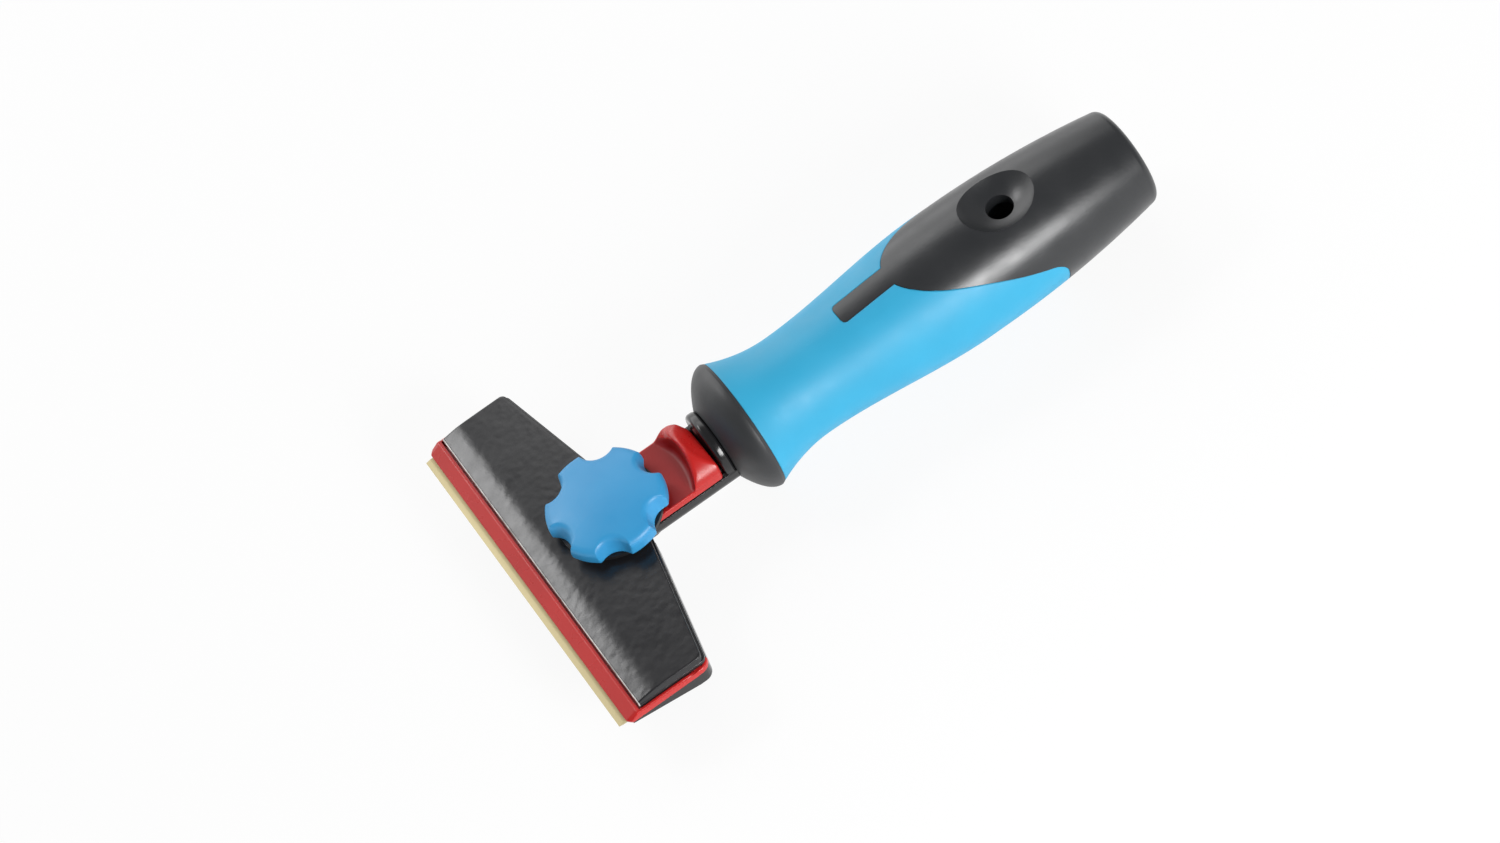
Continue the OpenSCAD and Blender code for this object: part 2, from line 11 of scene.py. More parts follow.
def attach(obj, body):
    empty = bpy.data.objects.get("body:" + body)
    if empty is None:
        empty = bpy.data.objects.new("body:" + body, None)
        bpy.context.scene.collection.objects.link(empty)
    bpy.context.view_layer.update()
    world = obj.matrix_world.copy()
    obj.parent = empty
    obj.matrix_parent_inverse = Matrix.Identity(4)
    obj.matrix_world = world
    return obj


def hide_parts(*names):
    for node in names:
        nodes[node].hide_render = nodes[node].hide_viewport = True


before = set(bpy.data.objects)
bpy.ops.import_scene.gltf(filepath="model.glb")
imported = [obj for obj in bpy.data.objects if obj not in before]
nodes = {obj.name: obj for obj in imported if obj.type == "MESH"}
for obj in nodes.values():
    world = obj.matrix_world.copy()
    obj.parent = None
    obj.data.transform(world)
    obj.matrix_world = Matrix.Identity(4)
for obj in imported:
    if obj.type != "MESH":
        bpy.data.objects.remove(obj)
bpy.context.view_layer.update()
scene = bpy.context.scene


# Materials

# Most values of a noise texture lie in this span
NOISE_SPAN = (0.3, 0.7)


def material(name):
    """A Principled material with nothing linked to it yet."""
    mat = bpy.data.materials.new(name)
    mat.use_nodes = True
    tree = mat.node_tree
    tree.nodes.clear()
    out = tree.nodes.new("ShaderNodeOutputMaterial")
    bsdf = tree.nodes.new("ShaderNodeBsdfPrincipled")
    tree.links.new(bsdf.outputs["BSDF"], out.inputs["Surface"])
    return mat, tree, bsdf


def noise(tree, scale, detail=3.0, stretch=(1, 1, 1)):
    """Noise in object space; scale is in features per metre."""
    coord = tree.nodes.new("ShaderNodeTexCoord")
    mapping = tree.nodes.new("ShaderNodeMapping")
    mapping.inputs["Scale"].default_value = stretch
    tex = tree.nodes.new("ShaderNodeTexNoise")
    tex.inputs["Scale"].default_value = scale
    tex.inputs["Detail"].default_value = detail
    tree.links.new(coord.outputs["Object"], mapping.inputs["Vector"])
    tree.links.new(mapping.outputs["Vector"], tex.inputs["Vector"])
    return tex.outputs["Fac"]


def spread(tree, fac, low, high, span=NOISE_SPAN):
    """Maps a factor's span onto a range of numbers."""
    node = tree.nodes.new("ShaderNodeMapRange")
    node.inputs["From Min"].default_value = span[0]
    node.inputs["From Max"].default_value = span[1]
    node.inputs["To Min"].default_value = low
    node.inputs["To Max"].default_value = high
    tree.links.new(fac, node.inputs["Value"])
    return node.outputs["Result"]


def between(tree, fac, dark, light):
    """Colour ramp between two colours."""
    node = tree.nodes.new("ShaderNodeValToRGB")
    for stop, place, colour in zip(node.color_ramp.elements, NOISE_SPAN, (dark, light)):
        stop.position = place
        stop.color = (*colour, 1)
    tree.links.new(fac, node.inputs["Fac"])
    return node.outputs["Color"]


def combine(tree, operation, a, b):
    """Joins a factor with another, or with a plain number."""
    node = tree.nodes.new("ShaderNodeMath")
    node.operation = operation
    tree.links.new(a, node.inputs[0])
    if isinstance(b, float):
        node.inputs[1].default_value = b
    else:
        tree.links.new(b, node.inputs[1])
    return node.outputs["Value"]


def bump(tree, bsdf, layers):
    """Stacks bump layers, each (height, depth in metres)."""
    normal = None
    for height, depth in layers:
        node = tree.nodes.new("ShaderNodeBump")
        node.inputs["Strength"].default_value = 1.0
        node.inputs["Distance"].default_value = depth
        tree.links.new(height, node.inputs["Height"])
        if normal is not None:
            tree.links.new(normal, node.inputs["Normal"])
        normal = node.outputs["Normal"]
    tree.links.new(normal, bsdf.inputs["Normal"])


def finish_of(name, dark, light, rough, peel, cloud=60.0, metallic=0.0, ior=1.5,
              stretch=(1, 1, 1), detail=3.0):
    """A moulded or painted finish: cloudy colour, uneven gloss and layers of surface relief.

    rough is the range of roughness, and peel lists layers of (features per metre, depth in metres).
    """
    mat, tree, bsdf = material(name)
    colour = between(tree, noise(tree, cloud, stretch=stretch), dark, light)
    gloss = spread(tree, noise(tree, 3 * cloud, stretch=stretch), *rough)
    tree.links.new(colour, bsdf.inputs["Base Color"])
    tree.links.new(gloss, bsdf.inputs["Roughness"])
    bsdf.inputs["Metallic"].default_value = metallic
    bsdf.inputs["IOR"].default_value = ior
    bump(tree, bsdf, [(noise(tree, scale, detail, stretch), depth) for scale, depth in peel])
    return mat


def roughen_nose(mat):
    """Makes the nose of the handle more matt than its tail; the span is in metres along it."""
    extra, span = 0.16, (-0.027, 0.02)
    tree = mat.node_tree
    coord = tree.nodes.new("ShaderNodeTexCoord")
    split = tree.nodes.new("ShaderNodeSeparateXYZ")
    tree.links.new(coord.outputs["Object"], split.inputs["Vector"])
    added = spread(tree, split.outputs["Y"], extra, 0.0, span)
    rough = next(node for node in tree.nodes if node.type == "BSDF_PRINCIPLED").inputs["Roughness"]
    tree.links.new(combine(tree, "ADD", rough.links[0].from_socket, added), rough)


RED = finish_of("red_plastic", (0.51, 0.013, 0.011), (0.57, 0.017, 0.015), (0.24, 0.32),
                [(900.0, 0.000008)])
PAINT = finish_of("black_paint", (0.015, 0.015, 0.017), (0.019, 0.019, 0.021), (0.20, 0.27),
                  [(500.0, 0.000055)], detail=0.6)
CASTING = finish_of("black_casting", (0.008, 0.008, 0.009), (0.012, 0.012, 0.013), (0.14, 0.22),
                    [(500.0, 0.00003), (2500.0, 0.000006)])
# Pale front edge of the clamp plate: rubbed-off paint, made brighter as a painted highlight of its rounded
# edge
EDGE_WEAR_AND_HIGHLIGHT = finish_of("worn_edge_and_painted_highlight", (0.36, 0.36, 0.345), (0.85, 0.84, 0.80), (0.30, 0.40),
                 [(2000.0, 0.00001)], cloud=350.0, metallic=0.5)
STEEL = finish_of("steel", (0.50, 0.50, 0.49), (0.60, 0.60, 0.58), (0.28, 0.40),
                  [(3000.0, 0.00001)], metallic=1.0, stretch=(1, 1, 6))
BLADE = finish_of("blade_steel", (0.43, 0.365, 0.19), (0.53, 0.45, 0.255), (0.38, 0.50),
                  [(2500.0, 0.000006)], metallic=0.35, stretch=(0.05, 1, 1))
WASHER = finish_of("black_plastic", (0.012, 0.012, 0.013), (0.018, 0.018, 0.019), (0.40, 0.52),
                   [(2500.0, 0.00001)])
BRASS = finish_of("brass", (0.66, 0.46, 0.17), (0.74, 0.54, 0.22), (0.25, 0.36),
                  [(3000.0, 0.00001)], metallic=1.0)
KNOB = finish_of("blue_plastic", (0.033, 0.31, 0.63), (0.041, 0.34, 0.67), (0.36, 0.46),
                 [(600.0, 0.00004), (5000.0, 0.000006)])
CORE = finish_of("dark_plastic", (0.020, 0.0215, 0.024), (0.025, 0.0265, 0.029), (0.28, 0.36),
                 [(3500.0, 0.000015), (900.0, 0.00002)], ior=1.58)
roughen_nose(CORE)
GRIP = finish_of("blue_rubber", (0.029, 0.38, 0.63), (0.035, 0.41, 0.67), (0.44, 0.54),
                 [(4500.0, 0.00002), (900.0, 0.00002)])
# Scoop inside the thumb rest: a darker red as painted shade of the hollow, with a rougher, duller gloss
DULL_SHADED_RED = finish_of("red_plastic_dull_painted_shade", (0.27, 0.006, 0.006), (0.32, 0.009, 0.009), (0.34, 0.42),
                [(1500.0, 0.00002), (5000.0, 0.000006)], ior=1.38)

LOOKS = {
    "frame": CASTING, "blade": BLADE, "locating_pins": STEEL, "blade_guard": RED, "clamp_plate": PAINT,
    "clamp_bolt": STEEL, "knob_washer": WASHER, "knob_insert": BRASS, "knob": KNOB, "handle_core": CORE,
    "grip": GRIP,
}
for name, mat in LOOKS.items():
    nodes[name].data.materials[0] = mat


# Shapes: drawn in millimetres from the cutting edge, as the part is, and moved into its frame

SHIFT = np.array((0.0, -96.6, 14.1))

# Places and sizes that several pieces share; holes are drawn with their clearance
BOLT_Y, BOLT_HOLE_R = 30.3, 3.4
PIN_X, PIN_Y, PIN_HOLE_R = 32, 13, 2.4
GUARD_HALF, GUARD_LOW, GUARD_TRAVEL = 51.7, 0.5, 3.5


def dress(obj, body, node):
    """Lets a piece stand for a node of the frame."""
    scene.collection.objects.link(obj)
    obj.data.materials.clear()
    obj.data.materials.append(LOOKS[node])
    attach(obj, body)
    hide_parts(node)
    return obj


def millimetres(points):
    """Points of the frame in the drawing's millimetres."""
    return np.array(points) * 1000 - SHIFT


def shape(name, verts, faces, crease=35.0):
    """Mesh object from millimetres, welded, facing outwards, smooth up to the crease angle."""
    weld = 1e-7
    mesh = bpy.data.meshes.new(name)
    mesh.from_pydata(((np.asarray(verts, float) + SHIFT) * 0.001).tolist(), [], faces)
    bm = bmesh.new()
    bm.from_mesh(mesh)
    bmesh.ops.remove_doubles(bm, verts=bm.verts, dist=weld)
    bmesh.ops.dissolve_degenerate(bm, edges=bm.edges, dist=weld)
    bmesh.ops.recalc_face_normals(bm, faces=bm.faces)
    bm.to_mesh(mesh)
    bm.free()
    return smooth(bpy.data.objects.new(name, mesh), crease)


def smooth(obj, crease):
    """Shades a piece smooth, with sharp edges over the crease angle."""
    obj.data.polygons.foreach_set("use_smooth", [True] * len(obj.data.polygons))
    obj.data.set_sharp_from_angle(angle=math.radians(crease))
    return obj


def grid(rows, cols, base=0, loop=False):
    """Quads of a grid of rows x cols vertices; loop joins the last column to the first."""
    last = cols if loop else cols - 1
    return [
        (base + i * cols + j, base + i * cols + (j + 1) % cols,
         base + (i + 1) * cols + (j + 1) % cols, base + (i + 1) * cols + j)
        for i in range(rows - 1) for j in range(last)
    ]


def tube(rows):
    """Closed shell through rows of points: each row is a ring, and the first and last are filled."""
    rows = np.asarray(rows, float)
    count, n = rows.shape[:2]
    ends = [tuple(range(n)), tuple(range((count - 1) * n, count * n))]
    return rows.reshape(-1, 3), grid(count, n, 0, True) + ends


def lay(*parts):
    """Joins (verts, faces) shells into one list of each."""
    verts, faces = [], []
    for part_verts, part_faces in parts:
        faces += [tuple(i + len(verts) for i in f) for f in part_faces]
        verts += np.asarray(part_verts, float).tolist()
    return verts, faces


def ramp(a, b, n):
    """Evenly spaced numbers from a to b."""
    return np.linspace(a, b, n)


def quarter(n):
    """Angles of a quarter turn without its start."""
    return ramp(0, np.pi / 2, n)[1:]


def fillet(d, r):
    """How far a rounded edge of radius r has dropped at a distance d from the edge."""
    d = np.clip(d, 0, r)
    return r - np.sqrt(np.maximum(r * r - (r - d) ** 2, 0))


def ease(t):
    """Goes from 0 to 1 with a level start and end."""
    return t * t * (3 - 2 * t)


def above(t, soft):
    """The part of t over zero, with a soft bend where it starts."""
    return 0.5 * (t + np.sqrt(t * t + soft * soft))


def lower_of(a, b, width, sink):
    """The lower of two values, rounded off where they cross."""
    h = np.clip(0.5 + 0.5 * (a - b) / width, 0, 1)
    return a * (1 - h) + b * h - sink * h * (1 - h)


def rounded(corners, steps=6):
    """Outline through (x, y, radius) corners, each rounded by an arc."""
    points = []
    for i, (x, y, r) in enumerate(corners):
        p = np.array((x, y), float)
        if r == 0:
            points.append(p)
            continue
        a = np.array(corners[i - 1][:2], float) - p
        b = np.array(corners[(i + 1) % len(corners)][:2], float) - p
        a /= np.linalg.norm(a)
        b /= np.linalg.norm(b)
        half = math.acos(np.clip(a @ b, -1, 1)) / 2
        turn = np.pi - 2 * half
        middle = p + (a + b) / np.linalg.norm(a + b) * r / math.sin(half)
        u = p + a * r / math.tan(half) - middle
        w = p + b * r / math.tan(half) - middle
        for k in range(steps + 1):
            f = k / steps
            spoke = (math.sin(turn * (1 - f)) * u + math.sin(turn * f) * w) / math.sin(turn)
            points.append(middle + spoke)
    return np.array(points)


def mirrored(right):
    """Closed outline from its right half, which starts and ends on the middle plane."""
    return np.concatenate([right, right[-2:0:-1] * (-1, 1)])


def box(half, y0, y1):
    """Rectangle as wide on the left as on the right."""
    return [(-half, y0), (half, y0), (half, y1), (-half, y1)]


def round_slot(r, x, y, run):
    """Outline of an upright slot of radius r that runs backwards from (x, y)."""
    a = ramp(0, np.pi, 17)
    far = np.column_stack([x + r * np.cos(a), y + run + r * np.sin(a)])
    near = np.column_stack([x - r * np.cos(a), y - r * np.sin(a)])
    return np.concatenate([far, near])


def plate(outline, holes, z0, z1, edge=0.0):
    """Flat slab with holes; edge rounds its upper outer edge."""
    loops = [np.asarray(outline, float)] + [np.asarray(h, float) for h in holes]
    rings = [(0.0, z0), (0.0, z1 - edge)]
    if edge > 0:
        rings += [(edge * (1 - math.cos(a)), z1 - edge + edge * math.sin(a)) for a in quarter(5)]
    verts, faces, ends = [], [], []
    for k, loop in enumerate(loops):
        along = np.roll(loop, -1, 0) - np.roll(loop, 1, 0)
        area = (loop[:, 0] * np.roll(loop[:, 1], -1) - np.roll(loop[:, 0], -1) * loop[:, 1]).sum()
        inward = np.stack([-along[:, 1], along[:, 0]], -1) * np.sign(area)
        inward /= np.linalg.norm(inward, axis=1, keepdims=True)
        base = len(verts)
        use = rings if k == 0 else [(0.0, z0), (0.0, z1)]
        for inset, z in use:
            verts += np.column_stack([loop + inward * inset, np.full(len(loop), z)]).tolist()
        faces += grid(len(use), len(loop), base, True)
        ends.append((base, base + (len(use) - 1) * len(loop), len(loop)))
    # Fill the lower and the upper face between the outline and the holes
    for level in (0, 1):
        index = [end[level] + i for end in ends for i in range(end[2])]
        flat = [[Vector((*verts[end[level] + i][:2], 0)) for i in range(end[2])] for end in ends]
        faces += [tuple(index[i] for i in tri) for tri in tessellate_polygon(flat)]
    return verts, faces


def cut(obj, cutter, crease):
    """Takes the cutter's shape out of a closed shape."""
    for part in (obj, cutter):
        scene.collection.objects.link(part)
    mod = obj.modifiers.new("cut", "BOOLEAN")
    mod.operation = "DIFFERENCE"
    mod.solver = "EXACT"
    mod.object = cutter
    result = bpy.data.meshes.new_from_object(obj.evaluated_get(bpy.context.evaluated_depsgraph_get()))
    obj.modifiers.clear()
    scene.collection.objects.unlink(obj)
    obj.data = result
    bpy.data.objects.remove(cutter)
    smooth(obj, crease)


def drill(obj, x, y, r, z0, z1, crease):
    """Cuts an upright round hole into a closed shape."""
    a = ramp(0, 2 * np.pi, 49)[:-1]
    ring = np.column_stack([x + r * np.cos(a), y + r * np.sin(a)])
    cut(obj, shape("cutter", *plate(ring, [], z0, z1)), crease)


def join(obj, other):
    """Puts the other object's mesh into the first one's."""
    bm = bmesh.new()
    bm.from_mesh(obj.data)
    bm.from_mesh(other.data)
    bm.to_mesh(obj.data)
    bm.free()
    bpy.data.objects.remove(other)


def read(items, attribute, width=1, kind=float):
    """One attribute of all the items of a mesh."""
    values = np.empty(len(items) * width, kind)
    items.foreach_get(attribute, values)
    return values.reshape(-1, width) if width > 1 else values


# Frame

def make_frame():
    """Frame: the solid's own mesh, with the neck's lower edges rounded further."""
    half, low, r, spare = 10, -2, 3.5, 0.4
    obj = bpy.data.objects.new("frame_casting", nodes["frame"].data.copy())
    bm = bmesh.new()
    bm.from_mesh(obj.data)
    bmesh.ops.remove_doubles(bm, verts=bm.verts, dist=1e-6)
    bm.to_mesh(obj.data)
    bm.free()
    a = ramp(0, np.pi / 2, 19)
    arc = np.column_stack([half - r + r * np.cos(a), low + r - r * np.sin(a)])
    # Stretches from y0 to y1; beside the collar the cut keeps clear of the collar's round
    for y0, y1, least_x in ((35.03, 59.58, 6.4), (59.5, 62.7, 7.95)):
        ring = arc[arc[:, 0] > least_x]
        past = [(ring[-1][0], low - spare), (half + spare, low - spare), (half + spare, low + r)]
        ring = np.concatenate([ring, past])
        for s in (-1, 1):
            wedge = tube([[(s * x, y, z) for x, z in ring] for y in (y0, y1)])
            cut(obj, shape("cutter", *wedge), 25)
    obj.modifiers.new("flats", "WEIGHTED_NORMAL").keep_sharp = True
    dress(obj, "tool", "frame")


# Handle: stations along its axis, radii there, and the grip's edges

AXIS_Z = 4.5
NOSE_Y, RIM_Y, WAIST_Y, BELLY_Y, TAIL_Y, END_Y = 62.6, 70.6, 88.0, 137.0, 143.0, 193.2
NOSE_R, RIM_R, WAIST_R, BELLY_R, END_R = 10.0, 18.6, 14.6, 18.35, 13.85
GRIP_Y, TONGUE_Y, BARE_Y = 71.5, 105.2, 161.9
GRIP_T, TONGUE_HALF, TONGUE_ROUND = 2.4, 3.1, 1.3
HANG_Y, HANG_R = 155.7, 3.75


def handle_r(y):
    """Radius of the handle's outline."""
    y = np.asarray(y, float)
    nose = RIM_R - (RIM_R - NOSE_R) * (1 - (y - NOSE_Y) / (RIM_Y - NOSE_Y)) ** 2
    flare = WAIST_R + (RIM_R - WAIST_R) * (1 - (y - RIM_Y) / (WAIST_Y - RIM_Y)) ** 2
    swell = WAIST_R + (BELLY_R - WAIST_R) * ease((y - WAIST_Y) / (BELLY_Y - WAIST_Y))
    tail = BELLY_R - (BELLY_R - END_R) * ((y - TAIL_Y) / (END_Y - TAIL_Y)) ** 2
    where = [y < RIM_Y, y < WAIST_Y, y < BELLY_Y, y < TAIL_Y]
    return np.select(where, [nose, flare, swell, BELLY_R], tail)


def bare_z(y):
    """Height above the axis of the grip's side edge: two slopes with a bend, then a round corner."""
    top_y, bend_y, bend_z, bend_run, end_z = 120.8, 140, 11, 6.2, 1
    corner_from, corner_y, corner_z, corner_r = 158.1, 155.4, -3.178, 6.5
    front = (float(handle_r(top_y)) - bend_z) / (bend_y - top_y)
    rear = (bend_z - end_z) / (BARE_Y - bend_y)
    into = np.clip(y - (bend_y - bend_run), 0, 2 * bend_run)
    bent = bend_z + front * (bend_y - y) - (rear - front) * into ** 2 / (4 * bend_run)
    line = np.where(y > bend_y + bend_run, end_z + rear * (BARE_Y - y), bent)
    corner = corner_z + np.sqrt(np.maximum(corner_r ** 2 - (y - corner_y) ** 2, 0))
    return np.where(y > corner_from, corner, line)


def bare_angle(y):
    """Angle from the top of the handle to the grip's edge."""
    y = np.asarray(y, float)
    r = handle_r(y)
    t = np.clip(TONGUE_Y + TONGUE_ROUND - y, 0, TONGUE_ROUND)
    half = TONGUE_HALF - TONGUE_ROUND + np.sqrt(np.maximum(TONGUE_ROUND ** 2 - t * t, 0))
    return np.maximum(np.arcsin(half / r), np.arccos(np.clip(bare_z(y) / r, -1, 1)))


def on_handle(y, theta, r):
    """Points at an angle from the top of the handle and a distance from its axis."""
    return np.stack([r * np.sin(theta), y + 0 * theta, AXIS_Z + r * np.cos(theta)], -1)


def make_grip():
    """Soft sleeve: skin, rounded edges where it meets the core, and an inner face."""
    edge_r, on_edge, columns, tongue_columns, tip_points = 0.4, 0.03, 84, 9, 30
    # Steps away from an edge, close enough for its rounding
    near = np.array((0, 0.04, 0.1, 0.18, 0.28, 0.4, 0.6))
    # Rows, closer together at both ends, at the tongue's tip and where the tongue opens into the tail
    ys = np.unique(np.round(np.concatenate([
        GRIP_Y + near,
        ramp(72.5, 104.4, 46),
        TONGUE_Y - near,
        TONGUE_Y + np.array((0.1, 0.3, 0.6, 0.95, 1.3)),
        ramp(107.5, 120, 14),
        ramp(120.7, 122.5, 19),
        ramp(122.9, 154, 54),
        BARE_Y - 7.4 * ramp(1, 0, 26) ** 2,
        BARE_Y - near,
    ]), 5))
    edge = np.where(ys < TONGUE_Y, bare_angle(TONGUE_Y), bare_angle(ys))[:, None]
    r = handle_r(ys)[:, None]
    inset = near[None, :] / r
    span = 2 * (np.pi - edge - inset[:, -1:])
    middle = edge + inset[:, -1:] + span * ramp(0, 1, columns)[None, 1:-1]
    theta = np.concatenate([edge + inset, middle, 2 * np.pi - edge - inset[:, ::-1]], 1)
    faces = grid(len(ys), theta.shape[1])
    verts = on_handle(ys[:, None], theta, r).reshape(-1, 3).tolist()
    # In front of the tongue the skin closes over the top
    front = ys[ys <= TONGUE_Y + 1e-6][:, None]
    theta = edge[0] * ramp(-1, 1, tongue_columns) + 0 * front
    faces += grid(len(front), tongue_columns, len(verts))
    verts += on_handle(front, theta, handle_r(front)).reshape(-1, 3).tolist()
    verts = np.array(verts)
    # Distance of the skin from its edges, for their rounding
    run = np.concatenate([
        ramp(TONGUE_Y, 120, 160), ramp(120, 123, 80), ramp(123, 158, 350),
        BARE_Y - 3.9 * ramp(1, 0, 120) ** 2
    ])
    rims = [on_handle(run, s * bare_angle(run), handle_r(run)) for s in (1, -1)]
    tip = ramp(-1, 1, tip_points) * edge[0]
    rims.append(on_handle(np.full(tip_points, TONGUE_Y), tip, handle_r(TONGUE_Y)))
    rims = np.concatenate(rims)
    finder = KDTree(len(rims))
    for i, p in enumerate(rims.tolist()):
        finder.insert(p, i)
    finder.balance()
    gap = np.array([finder.find(v)[2] for v in verts.tolist()])
    gap = np.minimum(np.minimum(gap, verts[:, 1] - GRIP_Y), BARE_Y - verts[:, 1])
    gap[gap < on_edge] = 0
    radius = np.hypot(verts[:, 0], verts[:, 2] - AXIS_Z)

    def drawn_in(depth):
        """The skin's points, moved towards the axis."""
        share = 1 - depth / radius
        moved = verts * np.stack([share, np.ones_like(share), share], -1)
        moved[:, 2] += AXIS_Z * (1 - share)
        return moved

    both = np.concatenate([drawn_in(fillet(gap, edge_r)), drawn_in(GRIP_T)])
    # Weld the skin's patches before its edge is closed to the inner face
    keys, first = {}, []
    for i, v in enumerate(np.round(verts, 4).tolist()):
        first.append(keys.setdefault(tuple(v), i))
    faces = [tuple(dict.fromkeys(first[i] for i in f)) for f in faces]
    faces = [f for f in faces if len(f) > 2]
    count, edges = len(verts), {}
    for f in faces:
        for a, b in zip(f, f[1:] + f[:1]):
            edges.setdefault((min(a, b), max(a, b)), []).append((a, b))
    rim = [use[0] for use in edges.values() if len(use) == 1]
    closed = faces + [tuple(i + count for i in reversed(f)) for f in faces]
    closed += [(b, a, a + count, b + count) for a, b in rim]
    obj = shape("soft_grip", both, closed, 50)
    drill(obj, 0, HANG_Y, HANG_R, -20, AXIS_Z, 50)
    dress(obj, "tool", "grip")


def make_core():
    """Handle core: the solid's own mesh, shaded along the smooth outline it was turned from."""
    tail_r, tail_from, tail_slope_from = 2.4, END_Y - 2.3, END_Y - 4.8
    dish_r, dish_deep = 14, 5
    facing_limit, tolerance, step = 0.95, 0.07, 1e-4
    rim_half, nose_edge, arc_spare = 0.02, 0.05, 0.02
    obj = bpy.data.objects.new("handle_body", nodes["handle_core"].data.copy())
    mesh = obj.data
    points = millimetres(read(mesh.vertices, "co", 3))[read(mesh.loops, "vertex_index", kind=int)]
    normals = read(mesh.corner_normals, "vector", 3)
    facing = np.repeat(read(mesh.polygons, "normal", 3), read(mesh.polygons, "loop_total", kind=int), 0)
    y = points[:, 1]
    radius = np.hypot(points[:, 0], points[:, 2] - AXIS_Z)
    spoke = np.stack([points[:, 0], points[:, 2] - AXIS_Z], -1) / np.maximum(radius, 1e-6)[:, None]

    def take(normal, near):
        """Gives the corners in near a normal, where their face looks that way."""
        fits = near & ((normal * facing).sum(1) > facing_limit)
        normals[fits] = normal[fits]

    def leaning(lean, rise):
        """Normals that point along the axis by lean and away from it by rise."""
        return np.stack([spoke[:, 0] * rise, lean, spoke[:, 1] * rise], -1) / np.hypot(lean, rise)[:, None]

    slope = (handle_r(y + step) - handle_r(y - step)) / (2 * step)
    slope[np.abs(y - RIM_Y) < rim_half] = 0
    on_outline = (y > NOSE_Y + nose_edge) & (y < tail_from)
    on_outline &= np.abs(radius - handle_r(y)) < tolerance
    take(leaning(-slope, np.ones(len(y))), on_outline)
    # The tail's edge, an arc between the outline and the end face
    start = np.array((tail_slope_from, float(handle_r(tail_slope_from))))
    corner = np.array((END_Y, END_R))
    lean = (corner - start) / np.linalg.norm(corner - start)
    half = (np.pi / 2 - math.atan2(-lean[1], lean[0])) / 2
    centre = corner - tail_r * np.tan(half) * lean - tail_r * np.array((-lean[1], lean[0]))
    from_y = y - centre[0]
    from_r = radius - centre[1]
    on_arc = (y > tail_from) & (from_r > -arc_spare)
    on_arc &= np.abs(np.hypot(from_y, from_r) - tail_r) < tolerance
    take(leaning(from_y, from_r), on_arc)
    # The dish, part of a ball
    ball = np.array((0, HANG_Y, AXIS_Z + float(handle_r(HANG_Y)) - dish_deep + dish_r)) - points
    size = np.linalg.norm(ball, axis=1)
    take(ball / size[:, None], np.abs(size - dish_r) < tolerance)
    mesh.polygons.foreach_set("use_smooth", [True] * len(mesh.polygons))
    mesh.normals_split_custom_set(normals.tolist())
    dress(obj, "tool", "handle_core")


# Knob

def make_knob():
    """Star knob: domed, with leaning hollows, rounded lobe corners and soft upper edges."""
    cols, rim_r, dome_h, top_z, low_z, foot_r = 360, 16.0, 1.9, 14.4, 7.9, 0.6
    lobes, lobe_r, first_hollow = 6, 1.1, 37
    hollow_r, hollow_reach, hollow_z, hollow_lean = 5.0, 18.0, 10.2, math.tan(math.radians(16))
    insert_r, insert_top = 5.0, 13.3
    lobe_soft, hollow_soft, hollow_depth, depth_z = 2.0, 1.5, 3.0, 11.0
    no_wall = 30.0
    foot_z = low_z + foot_r
    phi = ramp(0, 2 * np.pi, cols + 1)[:-1]
    dome_r = (rim_r ** 2 + dome_h ** 2) / (2 * dome_h)

    def dome(r):
        return top_z - dome_r + np.sqrt(dome_r ** 2 - r * r)

    def outline(z):
        """How far the knob reaches in each direction at a height, with the hollows taken out."""
        reach = np.full(cols, rim_r)
        c = hollow_reach - (z - hollow_z) * hollow_lean
        for k in range(lobes):
            d = (phi - math.radians(first_hollow + 360 / lobes * k) + np.pi) % (2 * np.pi) - np.pi
            s = c * np.sin(d)
            wall = c * np.cos(d) - np.sqrt(np.maximum(hollow_r ** 2 - s * s, 0))
            wall = np.where((np.abs(s) < hollow_r) & (np.abs(d) < 1), wall, no_wall)
            reach = lower_of(wall, reach, lobe_r, lobe_r)
        return reach

    # The upper edges are softer on the lobes than in the hollows
    depth = np.clip((rim_r - outline(np.full(cols, depth_z))) / hollow_depth, 0, 1)
    soft = lobe_soft - (lobe_soft - hollow_soft) * depth
    top = outline(dome(rim_r - lobe_soft) + 0 * phi)
    inner = top - soft
    rings = [(inner * f, dome(inner * f)) for f in ramp(0, 1, 15)[1:]]
    # A curve through three points takes the dome over into the wall
    slope = inner / np.sqrt(dome_r ** 2 - inner ** 2)
    p0 = np.stack([inner, dome(inner)])
    p1 = np.stack([top, p0[1] - slope * (top - inner)])
    wall_top = p1[1] - soft
    p2 = np.stack([outline(wall_top), wall_top])
    rings += [(1 - t) ** 2 * p0 + 2 * t * (1 - t) * p1 + t * t * p2 for t in ramp(0, 1, 9)[1:]]
    for t in ramp(0, 1, 7)[1:]:
        z = wall_top + (foot_z - wall_top) * t
        rings.append((outline(z), z))
    foot = outline(np.full(cols, foot_z))
    for a in quarter(6):
        rings.append((foot - foot_r * (1 - np.cos(a)), foot_z - foot_r * np.sin(a) + 0 * phi))
    rings += [(np.full(cols, insert_r), np.full(cols, z)) for z in (low_z, insert_top)]
    verts = [(0, BOLT_Y, top_z)]
    for r, z in rings:
        verts += np.stack([r * np.cos(phi), BOLT_Y + r * np.sin(phi), z], -1).tolist()
    last = 1 + (len(rings) - 1) * cols
    faces = [(0, 1 + j, 1 + (j + 1) % cols) for j in range(cols)]
    faces += grid(len(rings), cols, 1, True)
    faces.append(tuple(range(last, last + cols)))
    dress(shape("star_knob", verts, faces, 50), "knob", "knob")


# Guard

REST_HALF, REST_TOP, REST_FLOOR, REST_LOW = 10, 13.3, 6.3, 4.3
FLOOR_Y, RAIL_Y, RAIL_X = 42.3, 38.9, 8.7


